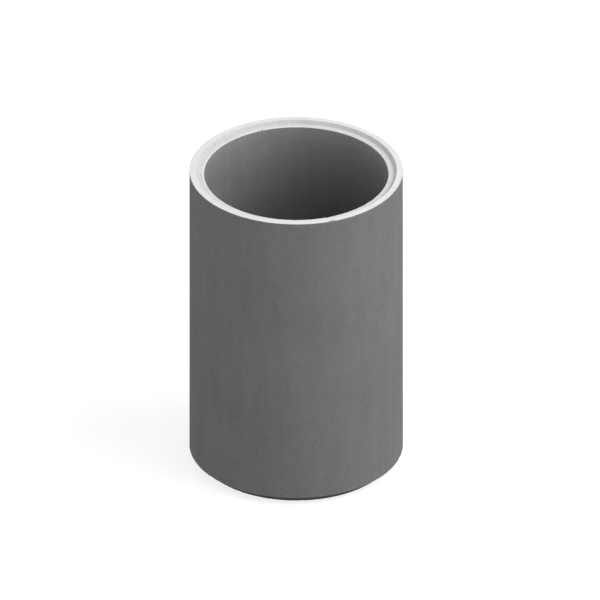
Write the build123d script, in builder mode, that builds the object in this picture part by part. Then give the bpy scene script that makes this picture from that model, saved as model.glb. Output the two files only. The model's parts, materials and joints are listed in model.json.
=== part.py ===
from build123d import *
import os

# Concrete sewer pipe with a rebated joint, cast in one piece and standing on its spigot end.
# The origin is the centre of the spigot's tip, and +Z runs up the bore to the socket.
# All sizes are in millimetres.

# Barrel
bore_diameter = 600
wall_thickness = 48
barrel_length = 1034

# Socket: the bevelled rebate in the upper end, between the flat rim and the bore
rim_width = 20
bevel_width = 10
socket_depth = 11

# Spigot: the lower end, which enters the socket of the next pipe
spigot_length = 28
joint_clearance = 2

# Edges: a chamfer that leads the spigot in, rounded arrises and coves
tip_chamfer = 2
arris_radius = 2
bore_arris_radius = 3
cove_radius = 3
# The most that an edge may take of a face beside it
edge_share = 0.3

# Radii from the axis
bore_radius = bore_diameter / 2
outer_radius = bore_radius + wall_thickness
mouth_radius = outer_radius - rim_width
seat_radius = mouth_radius - bevel_width
spigot_radius = seat_radius - joint_clearance

# Heights above the spigot's tip
shoulder_height = spigot_length
rim_height = shoulder_height + barrel_length
ledge_height = rim_height - socket_depth

# Flat faces that the edges lie between
tip_width = spigot_radius - bore_radius
shoulder_width = outer_radius - spigot_radius
ledge_width = seat_radius - bore_radius


def edge_size(size, *faces):
    """The size of a rounded or chamfered edge, held to a share of the narrowest face beside it."""
    return min(size, edge_share * min(faces))


lead_in = edge_size(tip_chamfer, tip_width, spigot_length)
root_cove = edge_size(cove_radius, shoulder_width, spigot_length)
shoulder_arris = edge_size(arris_radius, shoulder_width, barrel_length)
rim_arris = edge_size(arris_radius, rim_width, socket_depth)
seat_cove = edge_size(cove_radius, ledge_width, socket_depth)
ledge_arris = edge_size(bore_arris_radius, ledge_width, barrel_length)

# Corners of the wall's half section, each with the radius that rounds it:
# up the outside from the spigot's tip, over the rim and through the socket to the bore
section_corners = [
    ((spigot_radius, 0), 0),
    ((spigot_radius, shoulder_height), root_cove),
    ((outer_radius, shoulder_height), shoulder_arris),
    ((outer_radius, rim_height), rim_arris),
    ((mouth_radius, rim_height), rim_arris),
    ((seat_radius, ledge_height), seat_cove),
    ((bore_radius, ledge_height), ledge_arris),
    ((bore_radius, 0), 0),
]
corner_points = [point for point, radius in section_corners]
corner_radii = [radius for point, radius in section_corners]

# The wall's half section, turned about the bore's axis, with both edges of the spigot's tip chamfered
with BuildPart() as concrete_pipe:
    with BuildSketch(Plane.XZ) as wall_section:
        with BuildLine() as wall_outline:
            FilletPolyline(corner_points, radius=corner_radii, close=True)
        make_face()
    revolve(axis=Axis.Z)
    tip_edges = concrete_pipe.edges().group_by(Axis.Z)[0]
    chamfer(tip_edges, length=lead_in)

concrete_pipe.part.label = "concrete_pipe"

os.makedirs("parts", exist_ok=True)
export_step(concrete_pipe.part, "parts/concrete_pipe.step")
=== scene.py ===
import json
import math
import random
from collections import namedtuple

import bmesh
import bpy
import numpy as np
from mathutils import Matrix, Vector, noise


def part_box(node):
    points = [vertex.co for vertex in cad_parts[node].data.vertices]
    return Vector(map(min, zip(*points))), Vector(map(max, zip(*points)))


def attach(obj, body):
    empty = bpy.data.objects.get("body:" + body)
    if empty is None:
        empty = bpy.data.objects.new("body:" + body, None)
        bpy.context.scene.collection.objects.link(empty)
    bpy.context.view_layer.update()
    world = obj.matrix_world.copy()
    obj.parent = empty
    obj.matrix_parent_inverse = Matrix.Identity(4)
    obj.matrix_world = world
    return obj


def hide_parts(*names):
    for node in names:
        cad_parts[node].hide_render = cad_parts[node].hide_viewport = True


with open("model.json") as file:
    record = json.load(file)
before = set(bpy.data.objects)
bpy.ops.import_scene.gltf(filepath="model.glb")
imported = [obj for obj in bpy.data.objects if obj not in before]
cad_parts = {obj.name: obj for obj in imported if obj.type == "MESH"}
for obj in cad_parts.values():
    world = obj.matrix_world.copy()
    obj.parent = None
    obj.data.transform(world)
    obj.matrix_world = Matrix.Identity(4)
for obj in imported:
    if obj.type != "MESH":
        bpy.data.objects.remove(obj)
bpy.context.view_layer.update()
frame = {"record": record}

# All lengths are in metres
METRE = 1
MILLIMETRE = 0.001

# Roundings of the section's corners, and the width of the socket's bevel
arris_rounding = 2 * MILLIMETRE
bore_rounding = 3 * MILLIMETRE
cove_rounding = 3 * MILLIMETRE
bevel_width = 10 * MILLIMETRE

# The pipe's other sizes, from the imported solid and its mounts
PIPE = "concrete_pipe"
pipe_low, pipe_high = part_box(PIPE)
mounts = {mount["name"]: mount for mount in frame["record"]["mounts"]}
spigot = mounts["spigot"]
outer_radius = min(pipe_high.x, pipe_high.y, -pipe_low.x, -pipe_low.y)
rim_width = 2 * (pipe_high.x - mounts["socket_rim"]["pos_m"][0])
mouth_radius = outer_radius - rim_width
seat_radius = mouth_radius - bevel_width
bore_radius = mounts["bore"]["dims"]["r_mm"] * MILLIMETRE
spigot_radius = spigot["dims"]["r_mm"] * MILLIMETRE
shoulder_height = spigot["pos_m"][2] + spigot["dims"]["length_mm"] * MILLIMETRE / 2 + cove_rounding
ledge_height = mounts["socket_ledge"]["pos_m"][2]
rim_height = pipe_high.z

# Rows of the turned mesh: fine beside a corner, then wider towards the middle of a face
arc_steps = 4
first_row = 1.5 * MILLIMETRE
row_growth_share = 1.7
widest_row = 60 * MILLIMETRE

# How finely it is turned, how round the lumps are that cut it, and the least angle that shows as an edge
turn_steps = 420
lump_subdivisions = 2
smooth_angle = math.radians(32)

# A face whose points lie further apart than this share of the texture map crosses the map's seam
seam_share = 0.5

# Uneven casting: how far the skin lies inside the true form, and how the arrises are worn
wave_depth = 0.5 * MILLIMETRE
wave_length = 260 * MILLIMETRE
wear_depth = 1.6 * MILLIMETRE
wear_length = 26 * MILLIMETRE
wear_reach = 2.5 * MILLIMETRE
wear_from_share = 0.12
wear_fall_share = 0.6
wear_octave_share = 2.1
wear_octaves = 3

# Air holes left in the skin by the casting: how many a square metre of each face has, and how they lie
PITS_PER_SQUARE_METRE = {"spigot": 230, "shoulder": 230, "outside": 230, "bore": 80}
pit_seed = 41
pit_spacing = 18 * MILLIMETRE
pit_edge_margin = 5 * MILLIMETRE

# Their radii and how long they are stretched, both crowded towards the small end, and how deep they are
pit_radius_range = (2.3 * MILLIMETRE, 5.0 * MILLIMETRE)
pit_stretch_shares = (1.0, 2.6)
pit_crowding = 1.5
pit_depth_shares = (0.4, 0.75)
pit_lift_share = 0.5

# Chips in the rim and the bore's edge, and holes in the ledge: headings in degrees from +X towards +Y
rim_chip_heading = -70.5
bore_chip_heading = 111.8
wide_pit_headings = (123.7, 136.4)
narrow_pit_headings = (169, 179, 182)

# The half sizes, outward, around and upward, of the lumps that cut them, and how far in the holes lie
rim_chip_size = Vector((6, 14, 4.5)) * MILLIMETRE
bore_chip_size = Vector((4.2, 5, 4)) * MILLIMETRE
wide_pit_size = Vector((3, 3.2, 3)) * MILLIMETRE
narrow_pit_size = Vector((2.5, 1.8, 2)) * MILLIMETRE
ledge_pit_inset = 5 * MILLIMETRE

# The pale joint faces, partly a real cement skin and partly painted light from above: how much of it each
# face has, and how far it wraps the arris before one
PALE_SKIN_AND_LIGHT_SHARES = {"rim": 1.0, "bevel": 0.63, "ledge": 0.9}
PALE_WRAP_SHARES = {"bore": 0.75}

# A painted light at the top of the bore and how it fades downward, how thick the pale skin is, and the
# share of that thickness at which it has gone
bore_top_light_share = 0.11
bore_top_light_reach = 90 * MILLIMETRE
pale_thickness = 1.2 * MILLIMETRE
pale_end_share = 2

# Painted shade darkening the pale faces in the corner of bevel and ledge
corner_shade_share = 0.08
corner_shade_reach = 7 * MILLIMETRE

# The concrete's neutral greys, in linear light: the body, and the pale joint faces that also carry painted
# light from above
body_grey = 0.206
pale_grey = 0.8

# Its cloudy markings: the length and fineness of each, and how much it lightens and darkens the concrete
cloud_length = 260 * MILLIMETRE
cloud_detail = 4
cloud_share = 0.03
mottle_length = 42 * MILLIMETRE
mottle_detail = 5
mottle_share = 0.03
streak_length = 34 * MILLIMETRE
streak_detail = 1
streak_share = 0.025
streak_flatten_share = 0.08
spot_length = 15 * MILLIMETRE
spot_detail = 1
spot_share = 0.025
grain_length = 2 * MILLIMETRE
grain_detail = 2
grain_share = 0.012
sand_length = 2.4 * MILLIMETRE
sand_share = 0.012
noise_range_shares = (0.25, 0.75)

# Its specks: the size of their cells, a speck's core and edge as shares of that, the share of empty cells
pore_spacing = 14 * MILLIMETRE
pore_shares = (0, 0.36)
pore_rare_share = 0.6
pore_dark_share = 0.2
dimple_spacing = 20 * MILLIMETRE
dimple_shares = (0, 0.17)
dimple_rare_share = 0.3
fleck_spacing = 19 * MILLIMETRE
fleck_shares = (0.08, 0.2)
fleck_rare_share = 0.7
fleck_pale_share = 0.02

# The patches that the pores lie in
pore_patch_length = 120 * MILLIMETRE
pore_patch_detail = 2
pore_patch_shares = (0.45, 0.58)

# How pale its worn arrises are, how much painted shade darkens its foot under the shoulder, and how much
# calmer its pale faces are
worn_pale_share = 0.08
foot_shade_share = 0.5
calm_share = 0.45

# Its surface: how rough it is, the heights and depths of its fine relief, and how much of them shows
roughness_shares = (0.82, 0.94)
roughness_range_shares = (0.3, 0.7)
gloss_share = 0.02
mottle_height = 0.6 * MILLIMETRE
grain_height = 0.12 * MILLIMETRE
sand_height = 0.07 * MILLIMETRE
pore_depth = 0.2 * MILLIMETRE
dimple_depth = 2.4 * MILLIMETRE
relief_share = 0.4

# The floor: its width, and how far it lies below the pipe
floor_width = 30
floor_drop = 0.3 * MILLIMETRE

# The light that it throws on the pipe, and what the camera sees of it: a lit grey and a white of its own
floor_light = 0.16
floor_grey = 0.42
floor_white = 0.76

# The light: a surround that is brightest at the horizon, and a broad lamp to the upper right
horizon_strength = 1.43
zenith_strength = 0.1
key_strength = 0.63
key_heading = math.radians(74)
key_height = math.radians(46)
key_spread = math.radians(54)
key_distance = 10

# The pipe's place in the picture, in pixels of a square frame
frame_pixels = 600
pipe_axis_pixel = 296.18
rim_centre_pixel = 170.3
pipe_width_pixels = 213.62

# The camera looks down on the pipe with no perspective, and sees as far as a multiple of its distance
camera_elevation = math.radians(30.3)
camera_distance = 6
camera_clip_share = 4

# One corner of the wall's half section: its place, its rounding and the face that follows it
Corner = namedtuple("Corner", "radius height rounding face")
# The arc that rounds a corner: its places, their outward directions and whether it is convex
Arc = namedtuple("Arc", "places outs convex")
# One point of the section: its place, its outward direction, its paleness and its wear
Point = namedtuple("Point", "radius height out_radius out_height pale wear")
# One chip or hole: its heading, its place in the section and its half sizes
Mark = namedtuple("Mark", "heading place size")

# The section goes up the outside from the spigot's tip, over the rim and down the bore
CORNERS = [
    Corner(spigot_radius, 0, arris_rounding, "spigot"),
    Corner(spigot_radius, shoulder_height, cove_rounding, "shoulder"),
    Corner(outer_radius, shoulder_height, arris_rounding, "outside"),
    Corner(outer_radius, rim_height, arris_rounding, "rim"),
    Corner(mouth_radius, rim_height, arris_rounding, "bevel"),
    Corner(seat_radius, ledge_height, cove_rounding, "ledge"),
    Corner(bore_radius, ledge_height, bore_rounding, "bore"),
    Corner(bore_radius, 0, arris_rounding, "tip"),
]


def paleness(face, fallen):
    """How pale a face is, at a distance from its start: real cement skin with painted light from above on
    the joint, and a painted light that fades down the bore.
    """
    if face == "bore":
        # Painted light: the top of the bore is paler, fading with depth
        return bore_top_light_share * math.exp(-fallen / bore_top_light_reach)
    return PALE_SKIN_AND_LIGHT_SHARES.get(face, 0)


def graded(length):
    """Places along a face, as shares of its length, that are closer together near its ends."""
    steps = []
    step = first_row
    reach = 0
    while reach + step < length / 2:
        reach += step
        steps.append(reach)
        step = min(step * row_growth_share, widest_row)
    places = steps + [length - place for place in reversed(steps)]
    return [place / length for place in places]


def corner_arc(before, corner, after):
    """The arc that rounds a corner between two others."""
    place = Vector((corner.radius, corner.height))
    inward = (place - Vector((before.radius, before.height))).normalized()
    onward = (Vector((after.radius, after.height)) - place).normalized()
    turn = math.atan2(inward.cross(onward), inward.dot(onward))
    side = math.copysign(1, turn)
    heading = math.atan2(inward.y, inward.x)
    start = place - inward * corner.rounding * math.tan(abs(turn) / 2)
    centre = start - side * corner.rounding * Vector((inward.y, -inward.x))
    headings = [heading + turn * step / arc_steps for step in range(arc_steps + 1)]
    outs = [Vector((math.sin(along), -math.cos(along))) for along in headings]
    places = [centre + side * corner.rounding * out for out in outs]
    return Arc(places, outs, turn > 0)


def arc_points(before, corner, arc):
    """The points of a rounded corner, from the paleness of the face before it to that of the next."""
    reach = math.hypot(corner.radius - before.radius, corner.height - before.height)
    pale_before = paleness(before.face, reach)
    pale_after = paleness(corner.face, 0)
    wrap = PALE_WRAP_SHARES.get(corner.face, 0)
    points = []
    for step, (place, out) in enumerate(zip(arc.places, arc.outs)):
        fade = max(step / arc_steps - wrap, 0) / (1 - wrap)
        pale = pale_before + (pale_after - pale_before) * fade
        points.append(Point(*place, *out, pale, float(arc.convex)))
    return points


def face_points(corner, arc, next_arc):
    """The points of the face between two rounded corners, worn near an arris."""
    start, end = arc.places[-1], next_arc.places[0]
    length = (end - start).length
    points = []
    for share in graded(length):
        near = math.exp(-share * length / wear_reach) if arc.convex else 0
        far = math.exp(-(1 - share) * length / wear_reach) if next_arc.convex else 0
        pale = paleness(corner.face, share * length)
        points.append(Point(*start.lerp(end, share), *arc.outs[-1], pale, max(near, far)))
    return points


def section_points():
    """The wall's half section as a closed loop of points, with its corners rounded."""
    befores = CORNERS[-1:] + CORNERS[:-1]
    afters = CORNERS[1:] + CORNERS[:1]
    arcs = [corner_arc(*three) for three in zip(befores, CORNERS, afters)]
    points = []
    for before, corner, arc, next_arc in zip(befores, CORNERS, arcs, arcs[1:] + arcs[:1]):
        points += arc_points(before, corner, arc)
        points += face_points(corner, arc, next_arc)
    return points


def hollow(place, wear):
    """How far a point of the skin lies inside the true form."""
    wave = (noise.noise(place / wave_length) + 1) / 2
    worn = noise.fractal(place / wear_length, wear_fall_share, wear_octave_share, wear_octaves)
    return wave_depth * wave * (1 - wear) + wear_depth * max(worn - wear_from_share, 0) * wear


def add_object(name, vertices, faces):
    """A new mesh object in the scene."""
    mesh = bpy.data.meshes.new(name)
    mesh.from_pydata(vertices, [], faces)
    piece = bpy.data.objects.new(name, mesh)
    bpy.context.scene.collection.objects.link(piece)
    return piece


def turned_pipe(points):
    """The section turned about the pipe's axis, with its uneven skin."""
    up = Vector((0, 0, 1))
    vertices = []
    for turn in range(turn_steps):
        angle = 2 * math.pi * turn / turn_steps
        across = Vector((math.cos(angle), math.sin(angle), 0))
        for point in points:
            place = across * point.radius + up * point.height
            out = across * point.out_radius + up * point.out_height
            vertices.append(place - out * hollow(place, point.wear))
    count = len(points)
    faces = []
    for turn in range(turn_steps):
        near, far = turn * count, (turn + 1) % turn_steps * count
        for row in range(count):
            after = (row + 1) % count
            faces.append((near + row, far + row, far + after, near + after))
    return add_object("pipe_casting", vertices, faces)


def pit_places(draw):
    """Places for air holes, spread over the faces that have them: a point and its outward direction."""
    found = []
    for corner, following in zip(CORNERS, CORNERS[1:] + CORNERS[:1]):
        start = Vector((corner.radius, corner.height))
        end = Vector((following.radius, following.height))
        length = (end - start).length
        along = (end - start) / length
        area = length * math.pi * (start.x + end.x)
        for _ in range(round(area * PITS_PER_SQUARE_METRE.get(corner.face, 0))):
            angle = draw.uniform(0, 2 * math.pi)
            place = start + along * draw.uniform(pit_edge_margin, length - pit_edge_margin)
            across = Vector((math.cos(angle), math.sin(angle), 0))
            centre = across * place.x + Vector((0, 0, place.y))
            out = across * along.y + Vector((0, 0, -along.x))
            centre -= out * hollow(centre, 0)
            if all((centre - other).length > pit_spacing for other, _ in found):
                found.append((centre, out))
    return found


def crowded(draw, least, most):
    """A random value in a range, more often near its lower end."""
    return least + (most - least) * draw.random() ** pit_crowding


def pit_lumps():
    """Where each flattened, stretched lump lies that cuts an air hole."""
    draw = random.Random(pit_seed)
    for centre, out in pit_places(draw):
        radius = crowded(draw, *pit_radius_range)
        width = radius * crowded(draw, *pit_stretch_shares)
        depth = radius * draw.uniform(*pit_depth_shares)
        spin = Matrix.Rotation(draw.uniform(0, 2 * math.pi), 4, "Z")
        stand = out.to_track_quat("Z", "Y").to_matrix().to_4x4()
        lifted = Matrix.Translation(centre + out * depth * pit_lift_share)
        yield lifted @ stand @ spin @ Matrix.Diagonal((width, radius, depth, 1))


def socket_marks():
    """The chips in the rim's and the bore's arrises, and the small holes along the back of the ledge."""
    ledge_place = Vector((seat_radius - ledge_pit_inset, ledge_height))
    yield Mark(rim_chip_heading, Vector((outer_radius, rim_height)), rim_chip_size)
    yield Mark(bore_chip_heading, Vector((bore_radius, ledge_height)), bore_chip_size)
    for heading in wide_pit_headings:
        yield Mark(heading, ledge_place, wide_pit_size)
    for heading in narrow_pit_headings:
        yield Mark(heading, ledge_place, narrow_pit_size)


def mark_lumps():
    """Where each lump lies that cuts a chip or hole in the rim and the socket."""
    for mark in socket_marks():
        turn = Matrix.Rotation(math.radians(mark.heading), 4, "Z")
        place = Matrix.Translation((mark.place.x, 0, mark.place.y))
        yield turn @ place @ Matrix.Diagonal((*mark.size, 1))


def add_slots(mesh):
    """Two empty material slots: the first for the skin and the second for what is cut into it."""
    mesh.materials.append(None)
    mesh.materials.append(None)


def skin_cutter():
    """One mesh of all the lumps that cut the skin, with its faces in the second slot."""
    ball = bmesh.new()
    bmesh.ops.create_icosphere(ball, subdivisions=lump_subdivisions, radius=1)
    corners = [corner.co.copy() for corner in ball.verts]
    triangles = [[corner.index for corner in face.verts] for face in ball.faces]
    ball.free()
    vertices, faces = [], []
    for lie in [*pit_lumps(), *mark_lumps()]:
        faces += [[len(vertices) + index for index in triangle] for triangle in triangles]
        vertices += [lie @ corner for corner in corners]
    cutter = add_object("skin_cutter", vertices, faces)
    add_slots(cutter.data)
    cutter.data.polygons.foreach_set("material_index", np.ones(len(faces), np.int32))
    return cutter


def cut_skin(piece):
    """Cuts the holes and chips, and leaves their faces in the second slot."""
    cutter = skin_cutter()
    add_slots(piece.data)
    cut = piece.modifiers.new("cut", "BOOLEAN")
    cut.operation = "DIFFERENCE"
    cut.solver = "MANIFOLD"
    cut.object = cutter
    bpy.context.view_layer.update()
    evaluated = piece.evaluated_get(bpy.context.evaluated_depsgraph_get())
    finished = bpy.data.meshes.new_from_object(evaluated)
    piece.modifiers.remove(cut)
    piece.data = finished
    finished.name = piece.name
    bpy.data.objects.remove(cutter)


def read(items, name, kind, width=1):
    """One value, or several, of each item of a mesh."""
    values = np.zeros(len(items) * width, kind)
    items.foreach_get(name, values)
    return values


def shade(mesh):
    """Shades the skin smooth, with crisp edges where it turns sharply and round each hole."""
    mesh.shade_smooth()
    mesh.set_sharp_from_angle(angle=smooth_angle)
    slots = read(mesh.polygons, "material_index", np.int32)
    corner_slots = np.repeat(slots, read(mesh.polygons, "loop_total", np.int32))
    corner_edges = read(mesh.loops, "edge_index", np.int32)
    least = np.ones(len(mesh.edges), np.int32)
    most = np.zeros(len(mesh.edges), np.int32)
    np.minimum.at(least, corner_edges, corner_slots)
    np.maximum.at(most, corner_edges, corner_slots)
    sharp = read(mesh.edges, "use_edge_sharp", bool)
    mesh.edges.foreach_set("use_edge_sharp", sharp | (most > least))
    mesh.polygons.foreach_set("material_index", np.zeros_like(slots))


def follow_section(flat, points):
    """How far along the section each place lies, as a share, its paleness, its wear and its gap to it."""
    loop = np.array([(point.radius, point.height) for point in points])
    steps = np.roll(loop, -1, 0) - loop
    lengths = np.linalg.norm(steps, axis=1)
    starts = np.cumsum(lengths) - lengths
    gaps = np.full(len(flat), np.inf)
    along, pale, worn = np.zeros((3, len(flat)))
    for index, point in enumerate(points):
        after = points[(index + 1) % len(points)]
        share = np.clip((flat - loop[index]) @ steps[index] / lengths[index] ** 2, 0, 1)
        gap = np.linalg.norm(flat - loop[index] - share[:, None] * steps[index], axis=1)
        nearer = gap < gaps
        gaps[nearer] = gap[nearer]
        along[nearer] = (starts[index] + share * lengths[index])[nearer] / lengths.sum()
        pale[nearer] = (point.pale + (after.pale - point.pale) * share)[nearer]
        worn[nearer] = (point.wear + (after.wear - point.wear) * share)[nearer]
    return along, pale, worn, gaps


def tag_skin(mesh, points):
    """Tags each point of the skin with how pale and how worn it is, and lays the skin out flat."""
    places = read(mesh.vertices, "co", np.float32, 3).reshape(-1, 3)
    flat = np.stack([np.hypot(places[:, 0], places[:, 1]), places[:, 2]], 1)
    along, pale, worn, gaps = follow_section(flat, points)
    pale *= np.clip(pale_end_share - gaps / pale_thickness, 0, 1)
    from_corner = np.linalg.norm(flat - np.array([seat_radius, ledge_height]), axis=1)
    # Painted shade: the pale tone is darkened in the corner of bevel and ledge
    pale *= 1 - corner_shade_share * np.exp(-from_corner / corner_shade_reach)
    for name, values in (("pale", pale), ("worn", worn)):
        tag = mesh.attributes.new(name, "FLOAT", "POINT")
        tag.data.foreach_set("value", values.astype(np.float32))
    around = np.arctan2(places[:, 1], places[:, 0]) / (2 * math.pi) % 1
    lay_out(mesh, np.stack([around, along], 1))


def lay_out(mesh, shares):
    """The texture map, from how far round the pipe and along its section each point lies."""
    sides = read(mesh.polygons, "loop_total", np.int32)
    face_of = np.repeat(np.arange(len(sides)), sides)
    chart = shares[read(mesh.loops, "vertex_index", np.int32)]
    for axis in range(2):
        widest = np.zeros(len(sides))
        np.maximum.at(widest, face_of, chart[:, axis])
        chart[:, axis] += widest[face_of] - chart[:, axis] > seam_share
    chart /= chart.max(0)
    layer = mesh.uv_layers.new(name="OFBake")
    layer.data.foreach_set("uv", chart.astype(np.float32).ravel())


class Shader:
    """The node tree of a material or of the world, built one node at a time."""

    def __init__(self, block, surface):
        self.block = block
        block.use_nodes = True
        self.tree = block.node_tree
        self.surface = self.tree.nodes[surface]

    def add(self, kind, inputs=None, **settings):
        """A new node with its settings, and its inputs set or linked."""
        node = self.tree.nodes.new(kind)
        for key, value in settings.items():
            setattr(node, key, value)
        for key, value in (inputs or {}).items():
            self.put(node.inputs[key], value)
        return node

    def put(self, socket, value):
        """Links an output to a socket, or sets the socket's value."""
        if isinstance(value, bpy.types.NodeSocket):
            self.tree.links.new(value, socket)
        else:
            socket.default_value = value

    def coat(self, inputs):
        """Links or sets the surface's own inputs."""
        for key, value in inputs.items():
            self.put(self.surface.inputs[key], value)

    def math(self, operation, *values):
        """The result of a sum on numbers or outputs."""
        return self.add("ShaderNodeMath", dict(enumerate(values)), operation=operation).outputs[0]

    def scaled(self, value, factor):
        """A value times a factor."""
        return self.math("MULTIPLY", value, factor)

    def total(self, *values):
        """Several values added up."""
        result = values[0]
        for value in values[1:]:
            result = self.math("ADD", result, value)
        return result

    def spread(self, value, low, high, to_low, to_high, kind="SMOOTHSTEP"):
        """A value moved from one range to another, held to its ends."""
        inputs = {"Value": value, "From Min": low, "From Max": high, "To Min": to_low, "To Max": to_high}
        return self.add("ShaderNodeMapRange", inputs, interpolation_type=kind).outputs["Result"]

    def place(self):
        """The place of a point of the surface."""
        return self.add("ShaderNodeTexCoord").outputs["Object"]

    def height(self, place):
        """The upward part of a place or a direction."""
        return self.add("ShaderNodeSeparateXYZ", {"Vector": place}).outputs["Z"]

    def seen(self):
        """One where the camera sees the surface, directly, reflected or through glass, and else zero."""
        path = self.add("ShaderNodeLightPath").outputs
        shown = self.math("MAXIMUM", path["Is Camera Ray"], path["Is Glossy Ray"])
        return self.math("MAXIMUM", shown, path["Is Transmission Ray"])

    def tag(self, name):
        """A value that the points of the mesh are tagged with."""
        return self.add("ShaderNodeAttribute", attribute_name=name).outputs["Fac"]

    def noise(self, place, length, detail):
        """Cloudy noise with lumps of a given length."""
        inputs = {"Vector": place, "Scale": 1 / length, "Detail": detail}
        return self.add("ShaderNodeTexNoise", inputs).outputs["Fac"]

    def swing(self, value, share):
        """Noise turned into a change of tone, up or down by a share."""
        return self.spread(value, *noise_range_shares, -share, share)

    def cells(self, place, length):
        """Cells of a given length: the distance to the middle of each, and a random value of its own."""
        node = self.add("ShaderNodeTexVoronoi", {"Vector": place, "Scale": 1 / length})
        own = self.add("ShaderNodeSeparateColor", {"Color": node.outputs["Color"]})
        return node.outputs["Distance"], own.outputs["Red"]

    def specks(self, place, spacing, shares, rare):
        """Specks, one in the middle of some cells: 1 in the speck and 0 around it."""
        distance, own = self.cells(place, spacing)
        speck = self.spread(distance, *shares, 1, 0)
        return self.scaled(speck, self.math("GREATER_THAN", own, rare))


def concrete():
    """Matt grey concrete: cloudy and streaked, with grain and specks, joint faces paled partly by painted
    light from above, and painted shade on its foot.
    """
    shader = Shader(bpy.data.materials.new("concrete"), "Principled BSDF")
    place = shader.place()
    flattened = {"Vector": place, "Scale": (1, 1, streak_flatten_share)}
    upright = shader.add("ShaderNodeMapping", flattened).outputs["Vector"]
    mottle = shader.noise(place, mottle_length, mottle_detail)
    grain = shader.noise(place, grain_length, grain_detail)
    sand = shader.cells(place, sand_length)[1]
    patch_noise = shader.noise(place, pore_patch_length, pore_patch_detail)
    patches = shader.spread(patch_noise, *pore_patch_shares, 0, 1)
    all_pores = shader.specks(place, pore_spacing, pore_shares, pore_rare_share)
    pores = shader.scaled(all_pores, patches)
    dimples = shader.specks(place, dimple_spacing, dimple_shares, dimple_rare_share)
    flecks = shader.specks(place, fleck_spacing, fleck_shares, fleck_rare_share)
    pale = shader.tag("pale")
    calm = shader.spread(pale, 0, 1, 1, 1 - calm_share)

    # Colour
    markings = shader.total(
        shader.swing(shader.noise(place, cloud_length, cloud_detail), cloud_share),
        shader.swing(shader.noise(upright, streak_length, streak_detail), streak_share),
        shader.swing(shader.noise(place, spot_length, spot_detail), spot_share),
        shader.swing(mottle, mottle_share),
        shader.swing(grain, grain_share),
        shader.swing(sand, sand_share),
        shader.scaled(flecks, fleck_pale_share),
        shader.scaled(pores, -pore_dark_share),
        shader.scaled(shader.tag("worn"), worn_pale_share))
    # Painted shade: darker towards the bottom, under the shoulder
    foot = shader.spread(shader.height(place), 0, shoulder_height, 1 - foot_shade_share, 1)
    tone = shader.scaled(shader.math("MULTIPLY_ADD", markings, calm, 1), foot)
    # Pale joint faces: real cement skin together with painted light from above
    grey = shader.math("MULTIPLY_ADD", pale, pale_grey - body_grey, body_grey)

    # Surface
    relief = shader.total(
        shader.scaled(mottle, mottle_height),
        shader.scaled(grain, grain_height),
        shader.scaled(sand, sand_height),
        shader.scaled(pores, -pore_depth),
        shader.scaled(dimples, -dimple_depth))
    calmed = {"Height": shader.scaled(relief, calm), "Strength": relief_share, "Distance": METRE}
    bump = shader.add("ShaderNodeBump", calmed)
    shader.coat({
        "Base Color": shader.scaled(grey, tone),
        "Roughness": shader.spread(mottle, *roughness_range_shares, *roughness_shares),
        "Specular IOR Level": gloss_share,
        "Normal": bump.outputs["Normal"],
    })
    return shader.block


def build_pipe():
    """The finished pipe, in place of the plain solid."""
    points = section_points()
    piece = turned_pipe(points)
    cut_skin(piece)
    tag_skin(piece.data, points)
    shade(piece.data)
    piece.data.materials.clear()
    piece.data.materials.append(concrete())
    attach(piece, "root")
    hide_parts(PIPE)


def pale_floor():
    """A floor that shows white to the camera, keeps a soft shadow and is unlit in the bore."""
    shader = Shader(bpy.data.materials.new("floor"), "Principled BSDF")
    seen = shader.seen()
    from_axis = shader.add("ShaderNodeVectorMath", {0: shader.place()}, operation="LENGTH").outputs["Value"]
    outside = shader.spread(from_axis, bore_radius, spigot_radius, 0, 1)
    glow = shader.spread(seen, 0, 1, floor_light, floor_white)
    shader.coat({
        "Base Color": shader.scaled(seen, floor_grey),
        "Roughness": 1.0,
        "Specular IOR Level": 0.0,
        "Emission Color": (1, 1, 1, 1),
        "Emission Strength": shader.scaled(glow, outside),
    })
    return shader.block


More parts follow.
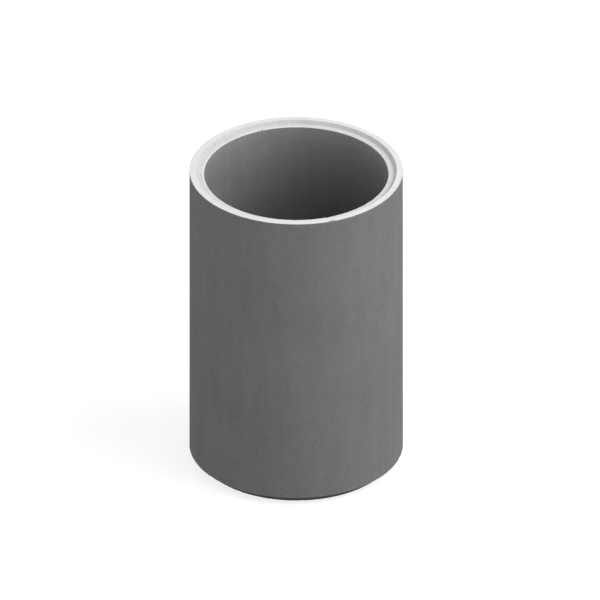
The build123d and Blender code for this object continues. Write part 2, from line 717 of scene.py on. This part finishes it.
def build_floor():
    """A wide floor under the pipe."""
    half = floor_width / 2
    height = pipe_low.z - floor_drop
    corners = [(-half, -half, height), (half, -half, height), (half, half, height), (-half, half, height)]
    floor = add_object("floor", corners, [list(range(len(corners)))])
    floor.data.materials.append(pale_floor())


def build_surround():
    """A world that is white to the camera and lights the pipe most from near the horizon."""
    world = bpy.data.worlds.new("surround")
    bpy.context.scene.world = world
    shader = Shader(world, "Background")
    direction = shader.add("ShaderNodeTexCoord").outputs["Generated"]
    glow = shader.spread(shader.height(direction), 0, 1, horizon_strength, zenith_strength, "LINEAR")
    white = shader.spread(shader.seen(), 0, 1, glow, 1, "LINEAR")
    shader.coat({"Color": (1, 1, 1, 1), "Strength": white})


def build_key():
    """A broad round lamp, whose light at the pipe is the same at any distance."""
    radius = key_distance * math.tan(key_spread / 2)
    lamp = bpy.data.lights.new("key", "AREA")
    lamp.shape = "DISK"
    lamp.size = 2 * radius
    lamp.energy = key_strength * (math.pi * radius / math.sin(key_spread / 2)) ** 2
    level = math.cos(key_height)
    towards = Vector((math.sin(key_heading) * level, -math.cos(key_heading) * level, math.sin(key_height)))
    key = bpy.data.objects.new("key", lamp)
    key.location = Vector((0, 0, rim_height / 2)) + towards * key_distance
    key.rotation_euler = towards.to_track_quat("Z", "Y").to_euler()
    key.visible_camera = False
    bpy.context.scene.collection.objects.link(key)


def build_camera():
    """A camera that frames the pipe as the photograph does."""
    pixel = 2 * outer_radius / pipe_width_pixels
    right = (frame_pixels / 2 - pipe_axis_pixel) * pixel
    below = (frame_pixels / 2 - rim_centre_pixel) * pixel / math.cos(camera_elevation)
    target = Vector((right, 0, rim_height - below))
    back = Vector((0, -math.cos(camera_elevation), math.sin(camera_elevation)))
    camera = bpy.data.cameras.new("camera")
    camera.type = "ORTHO"
    camera.ortho_scale = frame_pixels * pixel
    camera.clip_end = camera_distance * camera_clip_share
    view = bpy.data.objects.new("camera", camera)
    view.location = target + back * camera_distance
    view.rotation_euler = back.to_track_quat("Z", "Y").to_euler()
    bpy.context.scene.collection.objects.link(view)
    bpy.context.scene.camera = view


build_pipe()
build_floor()
build_surround()
build_key()
build_camera()
bpy.context.scene.view_settings.view_transform = "Standard"
